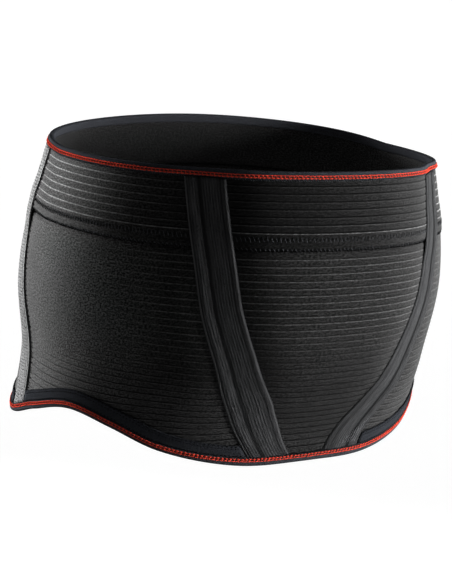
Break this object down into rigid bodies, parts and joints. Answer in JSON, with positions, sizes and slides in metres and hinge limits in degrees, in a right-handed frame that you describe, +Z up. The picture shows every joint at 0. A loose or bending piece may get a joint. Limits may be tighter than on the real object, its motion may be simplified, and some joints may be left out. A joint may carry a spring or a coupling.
{
  "type": "abdominal belt",
  "caption": "Knitted abdominal support belt in its worn form, closed round the trunk, with straps that cross the belly and bound edges.",
  "frame": {"origin": "on the trunk's axis inside the belt, halfway up its front", "axes": "+Z up the wearer's trunk, -Y towards the front of the belly, -X towards the wearer's right side"},
  "size_m": [0.3928, 0.3872, 0.3025],
  "materials": {
    "ribbed_knit": "matt black weft-ribbed knit",
    "plain_knit": "matt black heather knit",
    "strap_elastic": "matt charcoal elastic webbing",
    "ribbed_elastic": "matt charcoal lengthwise-ribbed elastic",
    "hem_tape": "smooth blue-black tape",
    "binding": "folded charcoal edge binding",
    "red_thread": "red ladder-stitch thread"
  },
  "bodies": {
    "root": {"upper_band": "ribbed_knit", "front_panel": "ribbed_knit", "side_panel_right": "plain_knit", "side_panel_left": "plain_knit", "back_panel": "plain_knit", "front_strap_right": "strap_elastic", "front_strap_left": "strap_elastic", "side_band_right": "ribbed_elastic", "side_band_left": "ribbed_elastic", "hem_tape_right": "hem_tape", "hem_tape_left": "hem_tape", "hem_tape_back": "hem_tape", "top_binding": "binding", "bottom_binding": "binding"}
  },
  "joints": []
}
